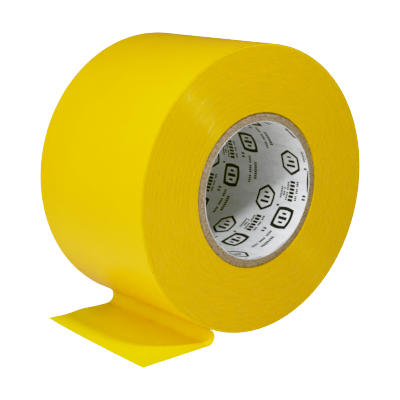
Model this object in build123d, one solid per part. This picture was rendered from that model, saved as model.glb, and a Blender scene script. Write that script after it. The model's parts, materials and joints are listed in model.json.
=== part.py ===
from build123d import *
import math
import os

# A roll of wide vinyl electrical tape, standing on its rim with its free end folded back on the table.
#
# Frame: millimetres. The roll's axis is Y, and the origin is the centre of the bore. The front end face
# looks along -Y and the free end lies towards -X. +Z is up, and the table is the plane Z = -ROLL_RADIUS.

# Driving dimensions
TAPE_WIDTH = 48.4
ROLL_RADIUS = 40.3
BORE_RADIUS = 19.05
CORE_RADIUS = 21.7
LINER_THICKNESS = 0.25
PLY_COUNT = 4
FILM_THICKNESS = 0.13
ADHESIVE_THICKNESS = 0.048

# Where the free end leaves the roll, as an angle from the lowest line of the roll towards -X
PEEL_ANGLE = 27.0
# How far the free end reaches from the roll's middle, along its front and its back edge
TAIL_REACH_FRONT = 41.4
TAIL_REACH_BACK = 40.2
TAIL_STRIPS = 3

# Clearances
TURN_CLEARANCE = 0.03
BEND_GAP = 0.3
SLIT_WIDTH = 1.6

# Worked out from the above
TAPE_THICKNESS = FILM_THICKNESS + ADHESIVE_THICKNESS
TABLE_Z = -ROLL_RADIUS
PACK_RADIUS = ROLL_RADIUS - TAPE_THICKNESS - TURN_CLEARANCE
PLY_THICKNESS = (CORE_RADIUS - BORE_RADIUS - LINER_THICKNESS) / PLY_COUNT

PEEL_COS = math.cos(math.radians(PEEL_ANGLE))
PEEL_SIN = math.sin(math.radians(PEEL_ANGLE))
# The fold is tangent to the roll where the tape peels and tangent to the table where it lies down.
STUCK_RADIUS = ROLL_RADIUS - TAPE_THICKNESS
FOLD_RADIUS = (ROLL_RADIUS - STUCK_RADIUS * PEEL_COS) / (1 + PEEL_COS)
FOLD_X = -(STUCK_RADIUS + FOLD_RADIUS) * PEEL_SIN
FOLD_Z = -(STUCK_RADIUS + FOLD_RADIUS) * PEEL_COS
FOLD_MIDDLE_RADIUS = FOLD_RADIUS - TAPE_THICKNESS / 2
# Directions round the fold's centre, in degrees from +X towards +Z
FOLD_START = 90 - PEEL_ANGLE
FOLD_END = -90
FOLD_HINGE = (FOLD_START + FOLD_END) / 2
FOLD_GAP_ANGLE = math.degrees(BEND_GAP / 2 / FOLD_MIDDLE_RADIUS)
SLIT_ANGLE = math.degrees(SLIT_WIDTH / ROLL_RADIUS)

# The lying part of the free end is divided evenly into strips that bend where they meet.
STRIP_LENGTH = (TAIL_REACH_BACK + FOLD_X) / TAIL_STRIPS

# The two layers of the tape, as depths from its backing side
LAYERS = {
    "film": (0, FILM_THICKNESS),
    "adhesive": (FILM_THICKNESS, TAPE_THICKNESS),
}

os.makedirs("parts", exist_ok=True)


def across_the_width(face):
    """Extrudes a face drawn in X and Z over the whole width of the tape."""
    return extrude(Plane.XZ.offset(-TAPE_WIDTH / 2) * face, amount=TAPE_WIDTH)


def ring(outer, inner):
    """A tube round the roll's axis, as long as the tape is wide."""
    return across_the_width(Circle(outer) - Circle(inner))


def band(centre, outer, inner, start, end):
    """Part of a tube round a line along Y, from the direction start to the direction end in degrees."""
    sweep = end - start
    middle = math.radians(start + sweep / 2)
    first = math.radians(start)
    last = math.radians(end)

    def point(radius, angle):
        return centre[0] + radius * math.cos(angle), centre[1] + radius * math.sin(angle)

    outline = [
        ThreePointArc(point(outer, first), point(outer, middle), point(outer, last)),
        Line(point(outer, last), point(inner, last)),
        ThreePointArc(point(inner, last), point(inner, middle), point(inner, first)),
        Line(point(inner, first), point(outer, first)),
    ]
    return across_the_width(make_face(Wire(outline)))


def strip(front_start, front_end, back_end, low, high):
    """A flat strip on the table that runs towards -X, with a square start and its own end on each edge."""
    half = TAPE_WIDTH / 2
    outline = Polyline(
        (front_start, -half),
        (front_end, -half),
        (back_end, half),
        (front_start, half),
        close=True,
    )
    return extrude(Plane.XY.offset(low) * make_face(outline), amount=high - low)


def write(node, solid):
    """Writes one sub-part to its STEP file."""
    export_step(solid, f"parts/{node}.step")


def core():
    """The printed paper liner in the bore, and the chipboard plies round it."""
    radius = BORE_RADIUS + LINER_THICKNESS
    write("core_liner", ring(radius, BORE_RADIUS))
    for number in range(1, PLY_COUNT + 1):
        write(f"core_ply_{number}", ring(radius + PLY_THICKNESS, radius))
        radius += PLY_THICKNESS


def wound_tape():
    """All the turns under the outermost one."""
    write("wound_turns", ring(PACK_RADIUS, CORE_RADIUS))


def outermost_turn():
    """The last turn, open where the free end leaves it."""
    peel = -90 - PEEL_ANGLE
    for layer, (near, far) in LAYERS.items():
        turn = band((0, 0), ROLL_RADIUS - near, ROLL_RADIUS - far, peel - 360 + SLIT_ANGLE, peel)
        write(f"outer_turn_{layer}", turn)


def fold():
    """The fold between the roll and the table, in two halves that hinge at its middle."""
    halves = {
        "upper": (FOLD_HINGE + FOLD_GAP_ANGLE, FOLD_START),
        "lower": (FOLD_END, FOLD_HINGE - FOLD_GAP_ANGLE),
    }
    backing_radius = FOLD_RADIUS - TAPE_THICKNESS
    for half, (start, end) in halves.items():
        for layer, (near, far) in LAYERS.items():
            piece = band((FOLD_X, FOLD_Z), backing_radius + far, backing_radius + near, start, end)
            write(f"{half}_fold_{layer}", piece)


def tail():
    """The strips of the free end that lie on the table. The last one ends in the hand-cut edge."""
    top = TABLE_Z + TAPE_THICKNESS
    for number in range(1, TAIL_STRIPS + 1):
        start = FOLD_X - (number - 1) * STRIP_LENGTH
        end = FOLD_X - number * STRIP_LENGTH
        if number > 1:
            start -= BEND_GAP / 2
        end_front = end + BEND_GAP / 2
        end_back = end + BEND_GAP / 2
        if number == TAIL_STRIPS:
            end_front = -TAIL_REACH_FRONT
            end_back = -TAIL_REACH_BACK
        for layer, (near, far) in LAYERS.items():
            write(f"tail_strip_{number}_{layer}", strip(start, end_front, end_back, top - far, top - near))


core()
wound_tape()
outermost_turn()
fold()
tail()

hinge = math.radians(FOLD_HINGE)
print("fold radius", round(FOLD_RADIUS, 3), "centre", round(FOLD_X, 3), round(FOLD_Z, 3))
print(
    "fold hinge line x, z",
    round(FOLD_X + FOLD_MIDDLE_RADIUS * math.cos(hinge), 4),
    round(FOLD_Z + FOLD_MIDDLE_RADIUS * math.sin(hinge), 4),
)
for bend in range(1, TAIL_STRIPS):
    print("bend line x, z", round(FOLD_X - bend * STRIP_LENGTH, 4), round(TABLE_Z + TAPE_THICKNESS / 2, 4))
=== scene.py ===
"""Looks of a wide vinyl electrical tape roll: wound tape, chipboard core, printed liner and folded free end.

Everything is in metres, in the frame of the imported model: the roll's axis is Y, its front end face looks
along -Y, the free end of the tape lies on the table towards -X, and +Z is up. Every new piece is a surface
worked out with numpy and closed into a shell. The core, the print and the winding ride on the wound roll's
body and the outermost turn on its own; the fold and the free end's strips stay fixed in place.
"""

import json
import logging
import math
from dataclasses import dataclass, field
from enum import Enum

import bpy
import numpy as np
from mathutils import Matrix, Vector
from numpy.random import Generator


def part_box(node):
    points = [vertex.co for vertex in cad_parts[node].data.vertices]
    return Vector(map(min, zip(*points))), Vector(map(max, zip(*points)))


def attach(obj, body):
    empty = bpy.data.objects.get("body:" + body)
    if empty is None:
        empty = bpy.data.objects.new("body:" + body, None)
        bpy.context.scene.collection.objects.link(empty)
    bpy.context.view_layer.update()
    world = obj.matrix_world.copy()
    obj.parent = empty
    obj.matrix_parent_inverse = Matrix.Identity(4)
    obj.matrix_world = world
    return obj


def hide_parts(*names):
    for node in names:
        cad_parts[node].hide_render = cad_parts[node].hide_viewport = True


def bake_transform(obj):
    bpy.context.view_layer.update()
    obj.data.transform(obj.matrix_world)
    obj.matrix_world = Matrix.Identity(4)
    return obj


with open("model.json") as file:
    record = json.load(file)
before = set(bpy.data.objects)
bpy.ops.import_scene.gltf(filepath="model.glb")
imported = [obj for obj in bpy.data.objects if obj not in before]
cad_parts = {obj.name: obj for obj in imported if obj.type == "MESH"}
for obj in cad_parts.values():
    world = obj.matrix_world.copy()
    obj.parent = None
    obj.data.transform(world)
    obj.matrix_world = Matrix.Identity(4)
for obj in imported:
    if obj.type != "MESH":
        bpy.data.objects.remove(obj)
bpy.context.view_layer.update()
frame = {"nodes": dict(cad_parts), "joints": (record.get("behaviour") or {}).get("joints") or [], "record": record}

MM = 0.001
TURN = 2 * math.pi
SEED = 20
SHARP_EDGE = math.radians(40)
SHORTEST_STROKE = 0.1 * MM
NO_GAPS = 99
SENSOR_WIDTH = 36

Colour = tuple[float, float, float]
Socket = bpy.types.NodeSocket
Tint = Colour | Socket

log = logging.getLogger("tape_roll")


class Side(Enum):
    """The two ends of the roll, as the sign of Y."""

    FRONT = -1
    BACK = 1


class Layer(Enum):
    """The tape's two layers, as the shares of its thickness from the backing where each begins and ends."""

    FILM = (0.0, 0.73)
    ADHESIVE = (0.73, 1.0)


# ---- Numbers read from the frame ----


@dataclass(frozen=True)
class RollSizes:
    """Sizes of the roll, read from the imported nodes.

    Attributes:
        radius: Outside radius of the roll.
        half_width: Half the tape's width.
        core_radius: Outside radius of the chipboard core.
        bore_radius: Radius of the bore inside the liner.
        liner_radius: Outside radius of the paper liner.
        pack_radius: Outside radius of the turns under the outermost one.
        tape: Thickness of the tape with its adhesive.
    """

    radius: float
    half_width: float
    core_radius: float
    bore_radius: float
    liner_radius: float
    pack_radius: float
    tape: float

    @classmethod
    def from_frame(cls) -> "RollSizes":
        """Reads the sizes from the corners of the nodes' boxes.

        Returns:
            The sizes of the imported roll.
        """
        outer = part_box("outer_turn_film")[1]
        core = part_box("core_ply_4")[1]
        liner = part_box("core_liner")[1]
        bore = next(m for m in frame["record"]["mounts"] if m["name"] == "core_bore")
        strip_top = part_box("tail_strip_2_film")[1]
        strip_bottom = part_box("tail_strip_2_adhesive")[0]
        return cls(
            radius=outer.z,
            half_width=outer.y,
            core_radius=core.z,
            bore_radius=bore["dims"]["r_mm"] * MM,
            liner_radius=liner.z,
            pack_radius=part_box("wound_turns")[1].z,
            tape=strip_top.z - strip_bottom.z,
        )


# ---- Surfaces ----


def quad_corners(rows: int, columns: int, looped: bool) -> np.ndarray:
    """Lists the corners of a grid's quads as (row, column) pairs, going round each quad the same way.

    Args:
        rows: Points along the first parameter.
        columns: Points along the second parameter.
        looped: True if the first parameter closes on itself.

    Returns:
        An array of shape (quads, 4, 2). A looped grid's last quads name the row after the last.
    """
    spans = rows if looped else rows - 1
    row, column = np.meshgrid(np.arange(spans), np.arange(columns - 1), indexing="ij")
    corners = [(row, column), (row + 1, column), (row + 1, column + 1), (row, column + 1)]
    return np.stack([np.stack(c, -1) for c in corners], 2).reshape(-1, 4, 2)


def shell_faces(rows: int, columns: int, looped: bool) -> tuple[np.ndarray, np.ndarray]:
    """Joins two grids of the same size into one closed shell: both grids, and a wall round their borders.

    Args:
        rows: Points along the first parameter.
        columns: Points along the second parameter.
        looped: True if the first parameter closes on itself, which leaves only two borders.

    Returns:
        The layer of each corner, 0 or 1, as an array of shape (quads, 4), and its (row, column), as one of
        shape (quads, 4, 2).
    """
    top = quad_corners(rows, columns, looped)
    bottom = top[:, ::-1]
    spans = np.arange(rows if looped else rows - 1)
    walls = []
    for column, step in ((0, (1, 0, 0, 1)), (columns - 1, (0, 1, 1, 0))):
        edge = np.stack([spans + s for s in step], 1)
        walls.append(np.stack([edge, np.full_like(edge, column)], -1))
    if not looped:
        spans = np.arange(columns - 1)
        for row, step in ((0, (0, 1, 1, 0)), (rows - 1, (1, 0, 0, 1))):
            edge = np.stack([spans + s for s in step], 1)
            walls.append(np.stack([np.full_like(edge, row), edge], -1))
    wall = np.concatenate(walls)
    layers = np.concatenate(
        [
            np.zeros((len(top), 4), int),
            np.ones((len(bottom), 4), int),
            np.tile([0, 0, 1, 1], (len(wall), 1)),
        ]
    )
    return layers, np.concatenate([top, bottom, wall])


def mesh_from(name: str, points: np.ndarray, faces: np.ndarray, uv: np.ndarray | None) -> bpy.types.Mesh:
    """Puts points and quads into a mesh whose faces point outwards.

    The signed volume is the sum over triangles of a . (b x c) / 6, and a negative one turns every face round.

    Args:
        name: The mesh's name.
        points: Array of shape (n, 3).
        faces: Array of shape (quads, 4).
        uv: Array of shape (quads, 4, 2), or None.

    Returns:
        The mesh, smooth apart from its sharp edges.
    """
    corner = points[faces]
    volume = 0.0
    for b, c in ((1, 2), (2, 3)):
        volume += float((corner[:, 0] * np.cross(corner[:, b], corner[:, c])).sum()) / 6
    if volume < 0:
        faces = faces[:, ::-1]
        uv = None if uv is None else uv[:, ::-1]
    mesh = bpy.data.meshes.new(name)
    mesh.vertices.add(len(points))
    mesh.vertices.foreach_set("co", points.astype(np.float32).ravel())
    mesh.loops.add(faces.size)
    mesh.loops.foreach_set("vertex_index", faces.astype(np.int32).ravel())
    mesh.polygons.add(len(faces))
    mesh.polygons.foreach_set("loop_start", np.arange(0, faces.size, 4, dtype=np.int32))
    mesh.polygons.foreach_set("use_smooth", np.ones(len(faces), bool))
    mesh.update(calc_edges=True)
    mesh.validate()
    if uv is not None:
        mesh.uv_layers.new(name="surface").data.foreach_set("uv", uv.astype(np.float32).ravel())
    mesh.set_sharp_from_angle(angle=SHARP_EDGE)
    return mesh


def new_object(name: str, data: bpy.types.ID) -> bpy.types.Object:
    """Makes an object and links it to the scene, at the origin.

    Args:
        name: Its name.
        data: Its mesh, light or camera.

    Returns:
        The object.
    """
    item = bpy.data.objects.new(name, data)
    bpy.context.scene.collection.objects.link(item)
    return item


def shell(
    name: str,
    top: np.ndarray,
    bottom: np.ndarray,
    looped: bool,
    uv: np.ndarray | None = None,
) -> bpy.types.Object:
    """Makes a closed shell between two surfaces given on the same grid.

    Args:
        name: The piece's name.
        top: Array of shape (rows, columns, 3).
        bottom: Array of the same shape.
        looped: True if the rows close on themselves.
        uv: Surface coordinates of shape (rows, columns, 2), with one more row if looped, or None.

    Returns:
        The new object, linked to the scene at the origin.
    """
    rows, columns = top.shape[:2]
    layers, corners = shell_faces(rows, columns, looped)
    row, column = corners[..., 0], corners[..., 1]
    faces = (layers * rows + row % rows) * columns + column
    points = np.concatenate([top.reshape(-1, 3), bottom.reshape(-1, 3)])
    return new_object(name, mesh_from(name, points, faces, None if uv is None else uv[row, column]))


def around(radius: np.ndarray, angle: np.ndarray, y: np.ndarray) -> np.ndarray:
    """Places points round the roll's axis, at x = radius cos(angle) and z = radius sin(angle).

    Args:
        radius: Distances from the axis.
        angle: Angles from +X towards +Z.
        y: Places along the axis. The three arrays are spread to one shape.

    Returns:
        Array of that shape and 3.
    """
    radius, angle, y = np.broadcast_arrays(radius, angle, y)
    return np.stack([radius * np.cos(angle), y, radius * np.sin(angle)], -1)


def ripple(angle: np.ndarray, rng: Generator, lowest: int, highest: int) -> np.ndarray:
    """A closed random curve round the axis: a sum of cosines of whole frequencies with random phases.

    Args:
        angle: Angles at which it is wanted.
        rng: Source of the phases and strengths.
        lowest: Lowest whole frequency.
        highest: Highest whole frequency.

    Returns:
        Values of about -1 to 1, the same at an angle and a full turn later.
    """
    waves = np.arange(lowest, highest + 1)
    phase = rng.uniform(0, TURN, len(waves))
    strength = rng.normal(1, 0.3, len(waves)) / math.sqrt(len(waves))
    return (strength * np.cos(angle[..., None] * waves + phase)).sum(-1)


# ---- Finishes ----


class NodeTable:
    """Adds nodes to a material and wires them, so that a finish reads as a list of steps."""

    def __init__(self, name: str) -> None:
        """Starts an empty material with its Principled shader.

        Args:
            name: The material's name.
        """
        self.material = bpy.data.materials.new(name)
        self.material.use_nodes = True
        self.tree = self.material.node_tree
        self.tree.nodes.clear()
        output = self.tree.nodes.new("ShaderNodeOutputMaterial")
        self.shader = self.tree.nodes.new("ShaderNodeBsdfPrincipled")
        self.tree.links.new(self.shader.outputs["BSDF"], output.inputs["Surface"])

    def add(self, kind: str, inputs: dict | None = None, **settings: object) -> bpy.types.Node:
        """Adds a node.

        Args:
            kind: The node's type without its ShaderNode prefix.
            inputs: Input name or number to a value, or to the output socket that feeds it.
            settings: The node's own settings.

        Returns:
            The node.
        """
        node = self.tree.nodes.new("ShaderNode" + kind)
        for key, value in settings.items():
            setattr(node, key, value)
        for key, value in (inputs or {}).items():
            self.feed(node.inputs[key], value)
        return node

    def feed(self, socket: Socket, value: object) -> None:
        """Links or sets one input of a node.

        Args:
            socket: The input.
            value: The socket that feeds it, or its value; a colour is given without its alpha.
        """
        if isinstance(value, Socket):
            self.tree.links.new(value, socket)
        else:
            socket.default_value = (*value, 1) if socket.type == "RGBA" else value

    def blend(self, factor: Socket, low: Tint, high: Tint) -> Socket:
        """Mixes two colours evenly.

        Args:
            factor: Socket with values from 0 to 1.
            low: Colour at 0, or the socket that gives it.
            high: Colour at 1, or its socket.

        Returns:
            The mixed colour's socket.
        """
        inputs = {"Factor": factor, "A": low, "B": high}
        return self.add("Mix", data_type="RGBA", inputs=inputs).outputs["Result"]

    def ramp(self, value: Socket, start: float, end: float, low: float = 0.0, high: float = 1.0) -> Socket:
        """Moves a value smoothly from one range to another, and holds it at the ends.

        Args:
            value: The value's socket.
            start: Value that becomes low.
            end: Value that becomes high.
            low: Result up to start.
            high: Result from end on.

        Returns:
            The result's socket.
        """
        inputs = {"Value": value, "From Min": start, "From Max": end, "To Min": low, "To Max": high}
        return self.add("MapRange", inputs=inputs, interpolation_type="SMOOTHSTEP").outputs["Result"]

    def surface(self) -> Socket:
        """The piece's surface coordinates."""
        return self.add("UVMap", uv_map="surface").outputs["UV"]

    def noise(self, place: Socket, scale: float, detail: float) -> Socket:
        """Noise of about 0 to 1, with so many features to a unit of the coordinates."""
        inputs = {"Vector": place, "Scale": scale, "Detail": detail}
        return self.add("TexNoise", inputs=inputs).outputs["Fac"]

    def streaks(self, place: Socket, stretch: tuple[float, float], detail: float) -> Socket:
        """Noise with so many features to a unit each way of the surface coordinates."""
        stretched = self.add("Mapping", inputs={"Vector": place, "Scale": (*stretch, 1)})
        return self.noise(stretched.outputs["Vector"], 1.0, detail)

    def scaled_sum(self, value: Socket, factor: float, added: Socket) -> Socket:
        """The value times the factor, plus another value."""
        return self.add("Math", operation="MULTIPLY_ADD", inputs={0: value, 1: factor, 2: added}).outputs[0]

    def relief(self, height: Socket, strength: float, distance: float) -> Socket:
        """The normal of a surface with small heights, each times the distance in metres."""
        inputs = {"Height": height, "Strength": strength, "Distance": distance}
        return self.add("Bump", inputs=inputs).outputs["Normal"]

    def set(self, **values: object) -> None:
        """Sets or feeds the Principled shader's sockets.

        Args:
            values: Socket name, with underscores for spaces, to a value, a colour or a socket.
        """
        for key, value in values.items():
            self.feed(self.shader.inputs[key.replace("_", " ")], value)


@dataclass(frozen=True)
class VinylFilm:
    """The tape's smooth backing: soft-gloss vinyl with faint lines along the tape from the rollers.

    The surface coordinates are metres along the tape and metres across it, counted from the line where the
    tape leaves the roll. From a little before that line on, the colour is painted paler: partly the single
    layer over the pale table, which is paler, and partly painted light on the fold and the free end.
    Stretches, clouds and grain are in features to a metre, a pair being along and across the tape.

    Attributes:
        paling_and_painted_light: Where the paler colour, partly single layer and partly painted light, begins and
            is complete.
        relief: Height of the lines and the grain.
    """

    name: str = "vinyl_film"
    light: Colour = (0.935, 0.575, 0.0)
    deep: Colour = (0.92, 0.55, 0.0)
    single_and_brightened_light: Colour = (0.95, 0.79, 0.0)
    single_and_brightened_deep: Colour = (0.94, 0.76, 0.0)
    roughness: float = 0.30
    line_stretch: tuple[float, float] = (12, 260)
    clouds: float = 45.0
    grain: float = 2600.0
    paling_and_painted_light: tuple[float, float] = (-4 * MM, 14 * MM)
    relief: float = 0.02 * MM

    def material(self) -> bpy.types.Material:
        """Builds the node tree.

        Returns:
            The new material.
        """
        table = NodeTable(self.name)
        surface = table.surface()
        lines = table.streaks(surface, self.line_stretch, 3.0)
        cloudy = table.noise(surface, self.clouds, 2.0)
        grain = table.noise(surface, self.grain, 2.0)
        mixed = table.scaled_sum(lines, 0.4, cloudy)
        shade = table.ramp(mixed, 0.5, 0.95)
        along_tape = table.add("SeparateXYZ", inputs={"Vector": surface}).outputs["X"]
        # Painted light: from just before the peel line the tape is made paler, partly for the single layer and
        # partly as light on the fold and free end.
        paled_and_painted_light = table.ramp(along_tape, *self.paling_and_painted_light)
        stuck = table.blend(shade, self.deep, self.light)
        single = table.blend(shade, self.single_and_brightened_deep, self.single_and_brightened_light)
        height = table.scaled_sum(lines, 3.0, grain)
        bump = table.relief(height, 0.12, self.relief)
        rough = table.ramp(grain, 0.2, 0.8, self.roughness - 0.03, self.roughness + 0.05)
        table.set(
            Base_Color=table.blend(paled_and_painted_light, stuck, single),
            Roughness=rough,
            Normal=bump,
            IOR=1.36,
            Specular_Tint=(1.0, 0.95, 0.05),
        )
        return table.material


@dataclass(frozen=True)
class SlitEdges:
    """The winding's end faces: the slit edges of about a hundred turns, which shine across their grooves.

    The surface coordinates are metres round the face and metres outwards. A clear coat with steep, fine
    ridges gives the streaks of short glints. Stretches are in features to a metre, round and outwards.

    Attributes:
        rim_radius: Radius of the winding's outer rim.
        rim: Painted highlight: a paler colour on the last turns, standing in for light caught by the rounded rim.
        worn_stretch: Stretch of the shinier patches.
        rim_highlight_band: Where the painted rim highlight begins and is complete, inwards from the rim.
        dull_band: Where the shine begins to fade and is gone, inwards from the rim.
    """

    rim_radius: float
    name: str = "slit_edges"
    light: Colour = (0.865, 0.520, 0.0)
    deep: Colour = (0.850, 0.505, 0.0)
    rim: Colour = (0.95, 0.65, 0.0)
    turn_stretch: tuple[float, float] = (7, 1500)
    band_stretch: tuple[float, float] = (10, 420)
    ridge_stretch: tuple[float, float] = (200, 5600)
    worn_stretch: tuple[float, float] = (190, 1700)
    ridge_height: float = 0.26 * MM
    rim_highlight_band: tuple[float, float] = (0.55 * MM, 0.20 * MM)
    dull_band: tuple[float, float] = (1.20 * MM, 0.50 * MM)

    def material(self) -> bpy.types.Material:
        """Builds the node tree.

        Returns:
            The new material.
        """
        table = NodeTable(self.name)
        surface = table.surface()
        turns = table.streaks(surface, self.turn_stretch, 3.0)
        bands = table.streaks(surface, self.band_stretch, 2.0)
        mixed = table.scaled_sum(turns, 0.5, bands)
        colour = table.blend(table.ramp(mixed, 0.35, 1.15), self.deep, self.light)
        outward = table.add("SeparateXYZ", inputs={"Vector": surface}).outputs["Y"]
        # Painted highlight: the outermost turns get a paler colour, standing in for light on the rounded rim.
        highlight_start, highlight_end = (self.rim_radius - inset for inset in self.rim_highlight_band)
        rim = table.ramp(outward, highlight_start, highlight_end)
        bump = table.relief(mixed, 0.12, 0.00004)
        ridges = table.streaks(surface, self.ridge_stretch, 1.0)
        glints = table.relief(ridges, 1.0, self.ridge_height)
        worn = table.streaks(surface, self.worn_stretch, 2.0)
        dull_start, dull_end = (self.rim_radius - inset for inset in self.dull_band)
        inside = table.ramp(outward, dull_start, dull_end, 1.0, 0.0)
        patchy = table.ramp(worn, 0.42, 0.60, 0.15, 1.0)
        shine = table.add("Math", operation="MULTIPLY", inputs={0: patchy, 1: inside})
        tangent = table.add("Tangent", direction_type="UV_MAP", uv_map="surface").outputs["Tangent"]
        rough = table.ramp(bands, 0.35, 0.65, 0.42, 0.54)
        table.set(
            Base_Color=table.blend(rim, colour, self.rim),
            Roughness=rough,
            Normal=bump,
            Tangent=tangent,
            Anisotropic=1.0,
            Anisotropic_Rotation=0.25,
            Specular_Tint=(1.0, 0.95, 0.10),
            Coat_Weight=shine.outputs[0],
            Coat_Roughness=0.08,
            Coat_Normal=glints,
            IOR=1.5,
        )
        return table.material


@dataclass(frozen=True)
class StickyCoat:
    """The clear rubber adhesive with the yellow film behind it."""

    name: str = "sticky_coat"
    colour: Colour = (0.90, 0.56, 0.01)
    dimples: float = 900.0

    def material(self) -> bpy.types.Material:
        """Builds the node tree.

        Returns:
            The new material.
        """
        table = NodeTable(self.name)
        surface = table.surface()
        dimples = table.noise(surface, self.dimples, 3.0)
        dull = tuple(0.9 * c for c in self.colour)
        colour = table.blend(table.ramp(dimples, 0.35, 0.7), dull, self.colour)
        bump = table.relief(dimples, 0.25, 0.00003)
        rough = table.ramp(dimples, 0.3, 0.7, 0.18, 0.32)
        table.set(Base_Color=colour, Roughness=rough, Normal=bump, Coat_Weight=0.4)
        return table.material


@dataclass(frozen=True)
class Chipboard:
    """Grey-brown recycled board, speckled with pale and dark fibres, rough where it was sawn."""

    name: str = "chipboard"
    pale: Colour = (0.48, 0.365, 0.27)
    brown: Colour = (0.27, 0.197, 0.147)
    dark: Colour = (0.07, 0.05, 0.03)
    pulp: float = 1700.0
    flecks: float = 2300.0

    def material(self) -> bpy.types.Material:
        """Builds the node tree.

        Returns:
            The new material.
        """
        table = NodeTable(self.name)
        place = table.add("TexCoord").outputs["Object"]
        pulp = table.noise(place, self.pulp, 4.0)
        flecks = table.noise(place, self.flecks, 2.0)
        base = table.blend(table.ramp(pulp, 0.32, 0.68), self.brown, self.pale)
        speck = table.ramp(flecks, 0.61, 0.69)
        spots = table.blend(speck, base, self.dark)
        bump = table.relief(pulp, 0.6, 0.00008)
        table.set(Base_Color=spots, Roughness=0.92, Normal=bump)
        return table.material


@dataclass(frozen=True)
class LinerPaper:
    """Smooth white paper with a little fibre in it."""

    name: str = "liner_paper"
    white: Colour = (0.83, 0.84, 0.865)
    grey: Colour = (0.76, 0.77, 0.795)
    fibre: float = 700.0

    def material(self) -> bpy.types.Material:
        """Builds the node tree.

        Returns:
            The new material.
        """
        table = NodeTable(self.name)
        place = table.add("TexCoord").outputs["Object"]
        fibre = table.noise(place, self.fibre, 5.0)
        colour = table.blend(table.ramp(fibre, 0.3, 0.6), self.grey, self.white)
        bump = table.relief(fibre, 0.2, 0.00003)
        table.set(Base_Color=colour, Roughness=0.5, Normal=bump)
        return table.material


@dataclass(frozen=True)
class PrintInk:
    """Black printing ink, a little uneven on the paper."""

    name: str = "print_ink"
    black: Colour = (0.010, 0.011, 0.045)
    thin: Colour = (0.035, 0.036, 0.080)
    blotches: float = 1800.0

    def material(self) -> bpy.types.Material:
        """Builds the node tree.

        Returns:
            The new material.
        """
        table = NodeTable(self.name)
        place = table.add("TexCoord").outputs["Object"]
        blotch = table.noise(place, self.blotches, 3.0)
        colour = table.blend(table.ramp(blotch, 0.5, 0.75), self.black, self.thin)
        table.set(Base_Color=colour, Roughness=0.6, Specular_IOR_Level=0.15)
        return table.material


def dress(piece: bpy.types.Object, finish: bpy.types.Material) -> None:
    """Gives a piece its only material.

    Args:
        piece: The piece.
        finish: Its material.
    """
    piece.data.materials.clear()
    piece.data.materials.append(finish)


# ---- Sub-assemblies ----


@dataclass
class Assembly:
    """A sub-assembly, with the pieces made for it.

    Attributes:
        sizes: Sizes of the roll.
        pieces: Its pieces, in the order in which they are made.
    """

    sizes: RollSizes
    pieces: list[bpy.types.Object] = field(default_factory=list, init=False)

    def finish(self, piece: bpy.types.Object, material: bpy.types.Material, slot: str, *nodes: str) -> None:
        """Dresses a piece and hides the nodes it stands for, if it stands for any.

        Args:
            piece: The piece.
            material: Its only material.
            slot: Name of its slot; not used.
            nodes: Names of the nodes it stands for.
        """
        dress(piece, material)
        if nodes:
            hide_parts(*nodes)
        self.pieces.append(piece)


@dataclass
class Core(Assembly):
    """The chipboard tube of four plies and its paper liner.

    Attributes:
        plies: How many plies the tube has.
        segments: Points round the axis.
        roughness: How far the sawn edges of the plies stand in and out.
        edge: How far each ply's edge is rounded.
        fray: How far the liner's torn edge wanders along the axis.
        crown: How far the board's outer rim stands back from its inner rim.
        fine_waves: Lowest and highest frequency of the fine unevenness.
        slow_waves: The same for the slow one.
    """

    plies: int = 4
    segments: int = 288
    roughness: float = 0.05 * MM
    edge: float = 0.06 * MM
    fray: float = 0.10 * MM
    crown: float = 0.50 * MM
    fine_waves: tuple[int, int] = (20, 110)
    slow_waves: tuple[int, int] = (2, 9)

    def ring_edge(self, inner: float, outer: float, side: Side, rng: Generator, depth: float) -> np.ndarray:
        """One end of a ring: a band from inner to outer radius, rounded at both and uneven all round.

        The band stands at half the width, less the core's crown, less the rounding at its rims, less a ripple
        of the given depth. The crown falls away outwards with the square of the share of the core's wall.

        Args:
            inner: Inside radius of the ring.
            outer: Outside radius of the ring.
            side: Which end it is.
            rng: Source of the ripples.
            depth: Depth of the ripples.

        Returns:
            Array of shape (segments, 7, 3).
        """
        angle = np.linspace(0, TURN, self.segments, endpoint=False)[:, None]
        share = np.array([0.0, 0.1, 0.3, 0.5, 0.7, 0.9, 1.0])
        radius = inner + (outer - inner) * share
        rounding = self.edge * np.array([1.0, 0.3, 0.0, 0.0, 0.0, 0.3, 1.0])
        waves = np.stack([ripple(angle[:, 0], rng, *self.fine_waves) for _ in share], 1)
        slow = ripple(angle, rng, *self.slow_waves)
        wall = (radius - self.sizes.bore_radius) / (self.sizes.core_radius - self.sizes.bore_radius)
        crown = self.crown * np.clip(wall, 0, 1) ** 2
        recess = depth * (0.9 + 0.5 * waves + 0.4 * slow) + rounding + crown
        y = side.value * (self.sizes.half_width - np.clip(recess, 0, None))
        return around(radius[None], angle, y)

    def build(self) -> None:
        """Makes the four plies and the liner as closed rings, each in place of its own node."""
        s = self.sizes
        board, paper = Chipboard().material(), LinerPaper().material()
        rng = np.random.default_rng(SEED)
        ply = (s.core_radius - s.liner_radius) / self.plies
        rings = []
        for number in range(1, self.plies + 1):
            inner = s.liner_radius + (number - 1) * ply
            names = (f"chipboard_ply_{number}", "chipboard", f"core_ply_{number}")
            rings.append((inner, inner + ply, self.roughness, board, names))
        names = ("paper_liner", "liner_paper", "core_liner")
        rings.append((s.bore_radius, s.liner_radius, self.fray, paper, names))
        for inner, outer, depth, material, (name, slot, node) in rings:
            front, back = (self.ring_edge(inner, outer, side, rng, depth) for side in Side)
            piece = shell(name, front, back, looped=True)
            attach(piece, "wound_roll")
            self.finish(piece, material, slot, node)


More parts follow.
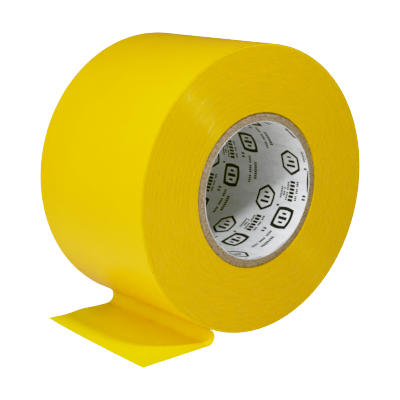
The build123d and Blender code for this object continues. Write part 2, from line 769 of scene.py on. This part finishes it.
@dataclass
class LinerPrint(Assembly):
    """The liner's repeating black print: a hexagon, a rounded square and rows of small strokes.

    Places on the liner are (around, along) in metres: the arc length round the bore, and the distance from
    the front edge. Groups stand in three slanted rows, because the paper was wound on a slant. The tables of
    a group's shapes are in millimetres, from the group's centre.

    Attributes:
        ink: Heights of the ink's underside and its face over the paper.
        mark: Size of the outlines, whose strokes have the width of the line.
        step: From a group to the next one in its row.
        rows: A group of each row.
        steps: How many groups are tried to each side of that one.
        reach: How far outside the liner a group's centre may be.
        margin: How far the print keeps from the liner's edges.
        outlines: Around, along, size in marks, sides, turn, squash, and width in lines.
        bars: Around, along, length and width of each single stroke.
        tick_rows: Around, along, length, height of a tick, pitch, and which ticks are left out.
        tick_width: A tick's width in pitches.
    """

    ink: tuple[float, float] = (0.002 * MM, 0.022 * MM)
    mark: float = 3.4 * MM
    line: float = 0.72 * MM
    step: tuple[float, float] = (-12.2 * MM, 9.35 * MM)
    rows: tuple[tuple[float, float], ...] = (
        (-33.5 * MM, 6.2 * MM),
        (-8.1 * MM, 16.5 * MM),
        (25.1 * MM, 24.3 * MM),
    )
    steps: int = 6
    reach: float = 4 * MM
    margin: float = 0.25 * MM
    outlines: tuple[tuple[float, float, float, int, float, float, float], ...] = (
        (0.0, 0.0, 1.08, 6, 0.0, 0.15, 1.0),
        (-16.9, -0.4, 1.17, 4, TURN / 8, 0.35, 1.4),
    )
    bars: tuple[tuple[float, float, float, float], ...] = (
        (-1.1, 0.0, 3.4, 0.7),
        (0.3, -0.5, 2.4, 0.7),
        (1.6, 0.2, 1.6, 0.5),
        (-16.9, -0.4, 3.4, 0.9),
        (-18.3, -0.4, 1.6, 0.6),
        (-15.5, -0.4, 1.6, 0.6),
        (-13.4, 3.5, 1.0, 0.5),
        (-21.4, 3.6, 1.3, 0.5),
        (-22.4, 3.6, 1.3, 0.5),
    )
    tick_rows: tuple[tuple[float, float, float, float, float, int], ...] = (
        (-8.6, -0.6, 6.6, 1.9, 1.05, NO_GAPS),
        (-8.3, -2.6, 5.8, 0.8, 0.52, 4),
        (-8.5, 1.1, 6.4, 0.7, 0.50, 6),
        (-9.1, 2.3, 2.8, 0.7, 0.50, 4),
        (-9.2, 3.4, 4.4, 0.7, 0.50, 8),
        (-26.0, -1.7, 5.6, 1.1, 0.66, NO_GAPS),
        (-25.8, 0.7, 8.6, 0.95, 0.60, 5),
    )
    tick_width: float = 0.66

    def on_bore(self, places: np.ndarray, height: float) -> np.ndarray:
        """Lays flat places on the bore, at a height off its wall."""
        radius = self.sizes.bore_radius
        return around(radius - height, places[..., 0] / radius, places[..., 1] - self.sizes.half_width)

    def stroke(self, path: np.ndarray, width: float, closed: bool) -> np.ndarray:
        """The two edges of a stroke: half the width to each side, along the mean normal at each point.

        Args:
            path: Places of shape (n, 2).
            width: The stroke's width.
            closed: True if the path is a loop.

        Returns:
            Array of shape (n, 2, 2).
        """
        if closed:
            before = path - np.roll(path, 1, 0)
            after = np.roll(path, -1, 0) - path
        else:
            step = np.diff(path, axis=0)
            before = np.concatenate([step[:1], step])
            after = np.concatenate([step, step[-1:]])
        before = before / np.linalg.norm(before, axis=1, keepdims=True)
        after = after / np.linalg.norm(after, axis=1, keepdims=True)
        mean = before + after
        mean = mean / np.linalg.norm(mean, axis=1, keepdims=True)
        normal = np.stack([-mean[:, 1], mean[:, 0]], 1)
        stretch = 1 / np.clip((mean * after).sum(1), 0.5, 1)
        offset = normal * (stretch * width / 2)[:, None]
        return np.stack([path - offset, path + offset], 1)

    def polygon(self, radius: float, sides: int, turned: float, squash: float) -> np.ndarray:
        """The outline of a regular polygon with softened corners, with six points to a side.

        A polygon's distance from its centre goes as the cosine of half a side's angle over the cosine of the
        angle from the side's middle. The squash share of it is the mean of its least and its most.

        Args:
            radius: From the centre to a sharp corner.
            sides: How many sides it has.
            turned: Angle of its first corner.
            squash: How far the corners are softened, from 0 to 1, a circle.

        Returns:
            Array of shape (6 * sides, 2).
        """
        count = sides * 6
        angle = np.arange(count) * TURN / count + turned
        wedge = TURN / sides
        local = (angle - turned) % wedge - wedge / 2
        flat = math.cos(wedge / 2) / np.cos(local)
        reach = radius * (flat * (1 - squash) + squash * (0.5 + 0.5 * math.cos(wedge / 2)))
        return np.stack([reach * np.cos(angle), reach * np.sin(angle)], 1)

    def bar(self, centre: np.ndarray, length: float, width: float) -> np.ndarray:
        """A straight stroke along the axis."""
        half = np.array([0.0, length / 2])
        return self.stroke(np.stack([centre - half, centre + half]), width, closed=False)

    def ticks(
        self,
        centre: np.ndarray,
        length: float,
        height: float,
        pitch: float,
        skip: int,
    ) -> list[np.ndarray]:
        """A row of short strokes round the bore, each along the axis.

        Args:
            centre: The row's middle.
            length: The row's length.
            height: Each stroke's length.
            pitch: From a stroke to the next.
            skip: Every stroke of this number is left out, as a gap.

        Returns:
            The edges of each stroke.
        """
        count = int(length / pitch)
        along = [(i - (count - 1) / 2) * pitch for i in range(count) if (i + 1) % skip]
        return [self.bar(centre + np.array([place, 0.0]), height, pitch * self.tick_width) for place in along]

    def group(self, centre: np.ndarray) -> list[tuple[np.ndarray, bool]]:
        """One group of the print.

        Args:
            centre: The group's place on the liner.

        Returns:
            The edges of each stroke, with True if it is a closed outline.
        """
        loops, strokes = [], []
        for *place, size, sides, turned, squash, weight in self.outlines:
            path = centre + np.array(place) * MM + self.polygon(self.mark * size, sides, turned, squash)
            loops.append(self.stroke(path, self.line * weight, closed=True))
        for *place, length, width in self.bars:
            strokes.append(self.bar(centre + np.array(place) * MM, length * MM, width * MM))
        for *place, length, height, pitch, skip in self.tick_rows:
            strokes += self.ticks(centre + np.array(place) * MM, length * MM, height * MM, pitch * MM, skip)
        return [(edges, True) for edges in loops] + [(edges, False) for edges in strokes]

    def centres(self) -> np.ndarray:
        """The groups' centres: whole steps from each row's given group, kept where a group shows.

        Returns:
            Array of shape (groups, 2).
        """
        steps = np.arange(-self.steps, self.steps + 1)[:, None] * np.array(self.step)
        places = (np.array(self.rows)[:, None] + steps).reshape(-1, 2)
        width = 2 * self.sizes.half_width
        return places[(places[:, 1] > -self.reach) & (places[:, 1] < width + self.reach)]

    def build(self) -> None:
        """Makes all strokes as one thin raised piece on the liner, cut off at the liner's edges."""
        underside, face = self.ink
        last = 2 * self.sizes.half_width - self.margin
        points, faces, total = [], [], 0
        for edges, looped in [stroke for centre in self.centres() for stroke in self.group(centre)]:
            along = edges[..., 1]
            held = edges.copy()
            held[..., 1] = np.clip(along, self.margin, last)
            outside = along.max() < self.margin or along.min() > last
            if outside or np.ptp(held[..., 1]) < SHORTEST_STROKE:
                continue
            rows = len(held)
            layers, corners = shell_faces(rows, 2, looped)
            faces.append((layers * rows + corners[..., 0] % rows) * 2 + corners[..., 1] + total)
            points += [self.on_bore(held, height).reshape(-1, 3) for height in (face, underside)]
            total += 4 * rows
        mesh = mesh_from("liner_print", np.concatenate(points), np.concatenate(faces), None)
        piece = new_object("liner_print", mesh)
        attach(piece, "wound_roll")
        self.finish(piece, PrintInk().material(), "liner_paper")


@dataclass
class Winding(Assembly):
    """All the turns under the outermost one, with their slit edges on both end faces.

    Attributes:
        segments: Points round the axis.
        ridge: How far each turn's edge stands in or out of its neighbour's.
        drift: How far the turns wander along the axis over several turns.
        rim: How far the last turns are rounded over.
        rim_width: How far inwards that begins.
        smoothing: How many points the wandering is smoothed over.
        swirl: Outward distance in which the slow ripple turns by a radian.
    """

    segments: int = 216
    ridge: float = 0.010 * MM
    drift: float = 0.024 * MM
    rim: float = 0.10 * MM
    rim_width: float = 0.5 * MM
    smoothing: int = 9
    swirl: float = 3 * MM

    def end_face(self, side: Side, rng: Generator) -> np.ndarray:
        """One end face: two points to a turn, one on its ridge and one in the groove beside it.

        The recess is the ridge, a smoothed random walk over the turns, a slow ripple round the face that
        differs from turn to turn, and a rounding of the outermost turns.

        Args:
            side: Which end it is.
            rng: Source of the walk and the ripple.

        Returns:
            Array of shape (segments, points outwards, 3).
        """
        s = self.sizes
        turns = int((s.pack_radius - s.core_radius) / s.tape)
        radius = np.linspace(s.core_radius, s.pack_radius, 2 * turns + 1)
        angle = np.linspace(0, TURN, self.segments, endpoint=False)[:, None]
        groove = self.ridge * (np.arange(len(radius)) % 2)
        walk = np.repeat(rng.normal(0, 1, turns + 1), 2)[: len(radius)]
        window = np.hanning(self.smoothing)
        smooth = np.convolve(walk, window / window.sum(), mode="same")
        slow = ripple(angle, rng, 1, 4) * np.sin(radius / self.swirl + rng.uniform(0, TURN))
        rounding = self.rim * np.clip(1 - (s.pack_radius - radius) / self.rim_width, 0, 1) ** 2
        recess = groove + self.drift * (1 + 0.6 * smooth + 0.3 * slow) + rounding
        y = side.value * (s.half_width - np.clip(recess, 0, None))
        return around(radius[None], angle, y)

    def build(self) -> None:
        """Makes the winding in place of its node."""
        s = self.sizes
        rng = np.random.default_rng(SEED + 1)
        front = self.end_face(Side.FRONT, rng)
        back = self.end_face(Side.BACK, rng)
        angle = np.linspace(0, TURN, self.segments + 1)[:, None]
        radius = np.linspace(s.core_radius, s.pack_radius, front.shape[1])[None]
        middle = (s.core_radius + s.pack_radius) / 2
        uv = np.stack(np.broadcast_arrays(angle * middle, radius), -1)
        piece = shell("wound_tape", front, back, looped=True, uv=uv)
        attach(piece, "wound_roll")
        self.finish(piece, SlitEdges(s.pack_radius).material(), "wound_vinyl", "wound_turns")


@dataclass
class FreeEnd(Assembly):
    """The outermost turn, the fold where the tape leaves the roll, and the free end on the table.

    The tape's backing is a path in X and Z. Round the roll it is a spiral that grows by one thickness in its
    turn, in the fold it is an arc, and on the table it is a line to the cut end.

    Attributes:
        peel_angle: Where the tape leaves the roll, from the lowest line towards -X.
        slit: The angle left open after the peel line.
        hair: The gap under the outermost turn, and its least thickness.
        crowding: How much closer together the points across the tape are at its edges.
        rows: Points along the fold, the free end's middle and its tip.
        bow: How far the middle of the cut end stands out from the line between its corners.
        hump: How far the back edge stands off the table, most at hump_place, a share of the way and a spread.
        curl: How far the back corner of the cut end curls up, beginning at the share curl_start.
        hump_width, curl_width: How fast they die out towards the front.
        edge: How far the backing is rounded over at the tape's edges.
        fold_bend: Heights over the table between which the fold goes over from the roll to the free end.
        fold_radius: Radius of the fold's outer side, about fold_centre, given in X and Z.
        fold_length: Length of the fold, in the middle of the tape's thickness.
        lie_start, first_bend, second_bend: Where the tape lies down and its two joints are, in X.
        front_reach, back_reach: The corners of the cut end, in X.
    """

    peel_angle: float = math.radians(27.0)
    slit: float = 1.6 / 40.3
    hair: float = 0.004 * MM
    turn_segments: int = 400
    across_points: int = 33
    crowding: float = 1.6
    rows: tuple[int, int, int] = (60, 24, 36)
    bow: float = 0.3 * MM
    hump: float = 0.36 * MM
    hump_place: tuple[float, float] = (0.43, 0.17)
    hump_width: float = 9.0 * MM
    curl: float = 0.28 * MM
    curl_start: float = 0.72
    curl_width: float = 5.0 * MM
    edge: float = 0.05 * MM
    fold_bend: tuple[float, float] = (4.1 * MM, 0.9 * MM)
    fold_radius: float = field(init=False)
    fold_centre: tuple[float, float] = field(init=False)
    fold_length: float = field(init=False)
    lie_start: float = field(init=False)
    first_bend: float = field(init=False)
    second_bend: float = field(init=False)
    front_reach: float = field(init=False)
    back_reach: float = field(init=False)

    def __post_init__(self) -> None:
        """Works out the fold: tangent to the roll where the tape peels, and to the table where it lies."""
        s = self.sizes
        stuck = s.radius - s.tape
        lowest = math.cos(self.peel_angle)
        self.fold_radius = (s.radius - stuck * lowest) / (1 + lowest)
        reach = stuck + self.fold_radius
        self.fold_centre = (-reach * math.sin(self.peel_angle), -reach * lowest)
        self.lie_start = self.fold_centre[0]
        joints = {j["name"]: j for j in frame["joints"]}
        self.first_bend = joints["tail_bend"]["pos_m"][0]
        self.second_bend = joints["tip_bend"]["pos_m"][0]
        self.fold_length = (math.pi - self.peel_angle) * (self.fold_radius - s.tape / 2)
        strip = frame["nodes"]["tail_strip_3_film"].data
        corners = np.empty(len(strip.vertices) * 3)
        strip.vertices.foreach_get("co", corners)
        corners = corners.reshape(-1, 3)
        self.front_reach = corners[corners[:, 1] < 0, 0].min()
        self.back_reach = corners[corners[:, 1] > 0, 0].min()

    def across(self) -> np.ndarray:
        """Places across the tape, from front to back, closer together at its edges."""
        share = np.linspace(-1, 1, self.across_points)
        return self.sizes.half_width * np.sign(share) * (1 - (1 - np.abs(share)) ** self.crowding)

    def edge_rounding(self, y: np.ndarray) -> np.ndarray:
        """How far the backing is rounded down, as the square of the way into its last two edge widths."""
        inset = np.clip((np.abs(y) - self.sizes.half_width + 2 * self.edge) / (2 * self.edge), 0, 1)
        return self.edge * inset**2

    def outer_turn(self, layer: Layer) -> bpy.types.Object:
        """The outermost turn's film or adhesive.

        The backing's radius falls by one thickness over the turn, and the inner side stays a circle, so the
        turn starts from nothing and runs over the winding at every angle.

        Args:
            layer: Which of the two it is.

        Returns:
            The piece.
        """
        s = self.sizes
        end = -math.pi / 2 - self.peel_angle
        angle = np.linspace(end - TURN + self.slit, end, self.turn_segments)[:, None]
        y = self.across()[None]
        grown = 1 - (end - angle) / TURN
        inner = s.radius - s.tape + self.hair
        depth = np.clip(s.radius - s.tape * (1 - grown) - inner, self.hair, None)
        near, far = layer.value
        rounding = self.edge_rounding(y) if layer is Layer.FILM else 0 * y
        top = around(inner + depth * (1 - near) - rounding * depth / s.tape, angle, y)
        bottom = around(inner + depth * (1 - far), angle, y)
        uv = np.stack(np.broadcast_arrays((angle - end) * s.radius, y), -1)
        return shell(f"outermost_turn_{layer.name.lower()}", top, bottom, looped=False, uv=uv)

    def strip_surface(self, places: np.ndarray, depth: float, y: np.ndarray) -> np.ndarray:
        """The surface of the peeled tape at a depth from its backing.

        The parameter is the length from the peel line. The first part is an arc about the fold's centre, and
        the rest is flat on the table, a little raised towards its back edge.

        Args:
            places: Lengths from the peel line, of shape (rows, 1) or (rows, columns).
            depth: Depth from the backing.
            y: Places across the tape.

        Returns:
            Array of shape (rows, columns, 3).
        """
        s = self.sizes
        places, y = np.broadcast_arrays(places, y)
        turned = np.clip(places / self.fold_length, 0, 1) * (math.pi - self.peel_angle)
        heading = math.pi / 2 - self.peel_angle - turned
        radius = self.fold_radius - s.tape + depth
        lying = np.clip(places - self.fold_length, 0, None)
        x = self.fold_centre[0] + radius * np.cos(heading) - lying
        z = self.fold_centre[1] + radius * np.sin(heading)
        share = np.clip(lying / (self.lie_start - self.back_reach), 0, 1)
        from_back = s.half_width - y
        highest, spread = self.hump_place
        hump = np.exp(-(((share - highest) / spread) ** 2)) * np.exp(-from_back / self.hump_width)
        curled = np.clip((share - self.curl_start) / (1 - self.curl_start), 0, 1)
        curl = curled * curled * (3 - 2 * curled) * np.exp(-from_back / self.curl_width)
        rise = self.hump * hump * (lying > 0) + self.curl * curl
        return np.stack([x, y, z + rise], -1)

    def end_places(self, start: float, rows: int, y: np.ndarray) -> np.ndarray:
        """Lengths from start to the cut end, which slants from edge to edge and bows out by half a sine wave.

        Args:
            start: Length from the peel line at which they start.
            rows: How many there are along the tape.
            y: Places across the tape.

        Returns:
            Array of shape (rows, columns).
        """
        share = 0.5 + 0.5 * y / self.sizes.half_width
        cut = self.front_reach + (self.back_reach - self.front_reach) * share
        last = self.length_at(cut - self.bow * np.sin(math.pi * share))
        return start + (last - start) * np.linspace(0, 1, rows)[:, None]

    def strip(self, name: str, layer: Layer, places: np.ndarray) -> bpy.types.Object:
        """A closed strip of film or adhesive, between the tape's surfaces at the layer's two depths.

        Args:
            name: The piece's name without its layer.
            layer: Which of the two it is.
            places: Lengths from the peel line.

        Returns:
            The piece.
        """
        y = self.across()[None]
        near, far = (share * self.sizes.tape for share in layer.value)
        rounding = self.edge_rounding(y) if layer is Layer.FILM else 0.0 * y
        top = self.strip_surface(places, near, y)
        top[..., 2] -= np.where(places > self.fold_length, rounding, 0)
        bottom = self.strip_surface(places, far, y)
        uv = np.stack(np.broadcast_arrays(places, y), -1)
        return shell(f"{name}_{layer.name.lower()}", top, bottom, looped=False, uv=uv)

    def length_at(self, x: float | np.ndarray) -> float | np.ndarray:
        """The length from the peel line to a place on the table."""
        return self.fold_length + self.lie_start - x

    def build(self) -> None:
        """Makes the outermost turn, the fold and the free end's two strips, film and adhesive apart, in place of
        their nodes.
        """
        film = (Layer.FILM, VinylFilm().material(), "vinyl_film")
        coat = (Layer.ADHESIVE, StickyCoat().material(), "adhesive_coat")
        first_middle = (self.lie_start + self.first_bend) / 2
        second_middle = (self.first_bend + self.second_bend) / 2
        fold_rows, middle_rows, tip_rows = self.rows
        for layer, material, slot in (film, coat):
            part = layer.name.lower()
            turn = self.outer_turn(layer)
            self.finish(turn, material, slot, f"outer_turn_{part}")
            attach(turn, "outer_turn")

            places = np.linspace(0, self.length_at(first_middle), fold_rows)[:, None]
            fold = self.strip("fold", layer, places)
            self.finish(fold, material, slot, f"upper_fold_{part}", f"lower_fold_{part}")
            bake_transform(fold)

            places = np.linspace(self.length_at(first_middle), self.length_at(second_middle), middle_rows)
            middle = self.strip("free_end_middle", layer, places[:, None])
            self.finish(middle, material, slot, f"tail_strip_1_{part}", f"tail_strip_2_{part}")
            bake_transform(middle)

            places = self.end_places(self.length_at(second_middle), tip_rows, self.across()[None])
            tip = self.strip("free_end_tip", layer, places)
            self.finish(tip, material, slot, f"tail_strip_3_{part}")
            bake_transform(tip)


# ---- Studio ----


@dataclass(frozen=True)
class SoftLight:
    """A square soft light, turned to the middle of the roll.

    Attributes:
        name: The light's name.
        azimuth: Its angle round the object, 0 in front of the roll's front end, in degrees.
        elevation: Its angle above the horizon, in degrees.
        distance: Its distance from the middle of the roll.
        size: The length of its side.
        power: Its power in watts.
    """

    name: str
    azimuth: float
    elevation: float
    distance: float
    size: float
    power: float

    def build(self) -> None:
        """Makes the light."""
        light = bpy.data.lights.new(self.name, "AREA")
        light.shape = "SQUARE"
        light.size = self.size
        light.energy = self.power
        lamp = new_object(self.name, light)
        toward = direction(math.radians(self.azimuth), math.radians(self.elevation))
        lamp.location = self.distance * toward
        lamp.rotation_euler = toward.to_track_quat("Z", "Y").to_euler()


def direction(azimuth: float, elevation: float) -> Vector:
    """The unit vector at two angles: the azimuth's sine and cosine, shortened by the elevation's cosine.

    Args:
        azimuth: Angle round the object, from -Y towards +X.
        elevation: Angle above the horizon.

    Returns:
        The vector.
    """
    level = math.cos(elevation)
    return Vector((math.sin(azimuth) * level, -math.cos(azimuth) * level, math.sin(elevation)))


@dataclass(frozen=True)
class Studio:
    """A pale table, a lamp close above the front, soft boxes mostly at the left, and the camera.

    Attributes:
        sizes: Sizes of the roll.
        azimuth: Camera's angle round the object, 0 looking along +Y, in degrees.
        elevation: Camera's angle above the horizon, in degrees.
        tilt: Camera's turn about its own view line, in degrees.
        distance: From the roll's centre to the camera, in roll radii, along the view line.
        aside: How far the roll's centre stands to the right of the view line, in roll radii.
        above: How far the roll's centre stands above the view line, in roll radii.
        lens: Focal length for a 36 mm sensor.
        room_light: Strength of the even light of the room on the object.
        backdrop: Strength of the pale backdrop and table as the camera sees them.
        glow: Strength of the light given off by a patch of table beside the roll, at glow_place with glow_radius;
            painted light on the roll from below.
        table_half: Half the length of the table's side.
        table_gap: How far the table is under the roll.
        shoulder: Light up to which the camera's response is straight; above it, the response rounds off.
        full_light: Light that becomes full white.
        shoulder_points: How many points the rounding is given by.
        blue_toe: Light in and out for blue alone, which a camera loses first in strong yellows.
        lights: The soft lights.
    """

    sizes: RollSizes
    azimuth: float = -38.908
    elevation: float = 14.250
    tilt: float = -1.3586
    distance: float = 7.9162
    aside: float = 0.02402
    above: float = 0.16733
    lens: float = 98.80
    room_light: float = 0.13
    backdrop: float = 2.6
    glow: float = 0.36
    glow_place: tuple[float, float] = (-0.10, 0.0)
    glow_radius: float = 0.12
    table_half: float = 6.0
    table_gap: float = 0.02 * MM
    table_low: Colour = (0.80, 0.80, 0.79)
    table_high: Colour = (0.82, 0.82, 0.81)
    shoulder: float = 0.5
    full_light: float = 2.2
    shoulder_points: int = 8
    blue_toe: tuple[tuple[float, float], ...] = (
        (0.012, 0.001),
        (0.030, 0.009),
        (0.080, 0.064),
        (0.200, 0.192),
        (0.400, 0.400),
    )
    lights: tuple[SoftLight, ...] = (
        SoftLight("near_lamp", -20.0, 51.0, 0.300, 0.028, 0.430),
        SoftLight("left_near_softbox", -65.0, 25.0, 0.35, 0.20, 0.33),
        SoftLight("left_low_softbox", -80.0, 14.0, 1.0, 0.50, 2.40),
        SoftLight("left_high_softbox", -75.0, 55.0, 1.0, 0.50, 1.45),
        SoftLight("right_softbox", 112.0, 28.0, 1.0, 0.50, 1.5),
    )

    def camera(self) -> None:
        """Makes the camera: back along the view line, with the roll's centre off it by aside and above."""
        tilt = math.radians(self.tilt)
        back = direction(math.radians(self.azimuth), math.radians(self.elevation))
        level = Vector((0, 0, 1)).cross(back).normalized()
        upright = back.cross(level)
        right = math.cos(tilt) * level + math.sin(tilt) * upright
        up = back.cross(right)
        place = self.distance * back - self.aside * right - self.above * up
        data = bpy.data.cameras.new("camera")
        data.lens = self.lens
        data.sensor_width = SENSOR_WIDTH
        data.clip_start = 0.01
        camera = new_object("camera", data)
        turn = Matrix((right, up, back)).transposed().to_4x4()
        camera.matrix_world = Matrix.Translation(place * self.sizes.radius) @ turn
        bpy.context.scene.camera = camera

    def floor(self) -> None:
        """Makes the pale table: a wide square just under the roll, with a soft patch beside it that glows as
        painted light on the roll.
        """
        level = -self.sizes.radius - self.table_gap
        corners = [(-1, -1), (1, -1), (1, 1), (-1, 1)]
        mesh = bpy.data.meshes.new("table")
        places = [(x * self.table_half, y * self.table_half, level) for x, y in corners]
        mesh.from_pydata(places, [], [(0, 1, 2, 3)])
        table = new_object("table", mesh)
        nodes = NodeTable("table")
        place = nodes.add("TexCoord").outputs["Object"]
        colour = nodes.blend(nodes.noise(place, 3.0, 2.0), self.table_low, self.table_high)
        middle = (*self.glow_place, level)
        away = nodes.add("VectorMath", operation="DISTANCE", inputs={0: place, 1: middle}).outputs["Value"]
        # Painted light: the table itself gives off light in a soft patch beside the roll, though no lamp is there.
        glowing_patch = nodes.ramp(away, 0.0, self.glow_radius, self.glow, 0.0)
        seen = nodes.add("LightPath").outputs["Is Camera Ray"]
        glow = nodes.scaled_sum(seen, self.backdrop, glowing_patch)
        nodes.set(
            Base_Color=colour,
            Roughness=0.6,
            Specular_IOR_Level=0.2,
            Emission_Color=(1.0, 1.0, 1.0),
            Emission_Strength=glow,
        )
        dress(table, nodes.material)

    def room(self) -> None:
        """Makes the surroundings: a dim even light for the object, and a pale backdrop for the camera."""
        world = bpy.data.worlds.new("room")
        world.use_nodes = True
        bpy.context.scene.world = world
        tree = world.node_tree
        tree.nodes.clear()
        output = tree.nodes.new("ShaderNodeOutputWorld")
        chooser = tree.nodes.new("ShaderNodeMixShader")
        path = tree.nodes.new("ShaderNodeLightPath")
        tree.links.new(path.outputs["Is Camera Ray"], chooser.inputs[0])
        for place, strength in ((1, self.room_light), (2, self.backdrop)):
            glow = tree.nodes.new("ShaderNodeBackground")
            glow.inputs["Color"].default_value = (1, 1, 1, 1)
            glow.inputs["Strength"].default_value = strength
            tree.links.new(glow.outputs[0], chooser.inputs[place])
        tree.links.new(chooser.outputs[0], output.inputs["Surface"])

    def develop(self) -> None:
        """Sets how light becomes colour: the standard transform after the camera's response.

        The response is the light itself up to the shoulder. Above it, the gap to white closes exponentially,
        with no kink where it starts.
        """
        view = bpy.context.scene.view_settings
        view.view_transform = "Standard"
        view.use_curve_mapping = True
        mapping = view.curve_mapping
        mapping.white_level = (self.full_light,) * 3
        gap = 1 - self.shoulder
        points = mapping.curves[3].points
        points.new(self.shoulder / 2 / self.full_light, self.shoulder / 2)
        for share in np.arange(self.shoulder_points) / self.shoulder_points:
            light = self.shoulder * (self.full_light / self.shoulder) ** share
            points.new(light / self.full_light, 1 - gap * math.exp(-(light - self.shoulder) / gap))
        for light, out in self.blue_toe:
            mapping.curves[2].points.new(light, out)
        mapping.update()

    def build(self) -> None:
        """Makes everything round the object."""
        self.floor()
        self.room()
        for light in self.lights:
            light.build()
        self.camera()
        self.develop()


def main() -> None:
    """Builds the roll and its surroundings, and reports each piece."""
    logging.basicConfig(level=logging.INFO, format="%(name)s: %(message)s")
    sizes = RollSizes.from_frame()
    log.info("roll radius %.2f mm, half width %.2f mm", sizes.radius / MM, sizes.half_width / MM)
    for assembly in (Core(sizes), LinerPrint(sizes), Winding(sizes), FreeEnd(sizes)):
        assembly.build()
        for piece in assembly.pieces:
            log.info("%s: %d faces", piece.name, len(piece.data.polygons))
    Studio(sizes).build()


if __name__ == "__main__":
    main()
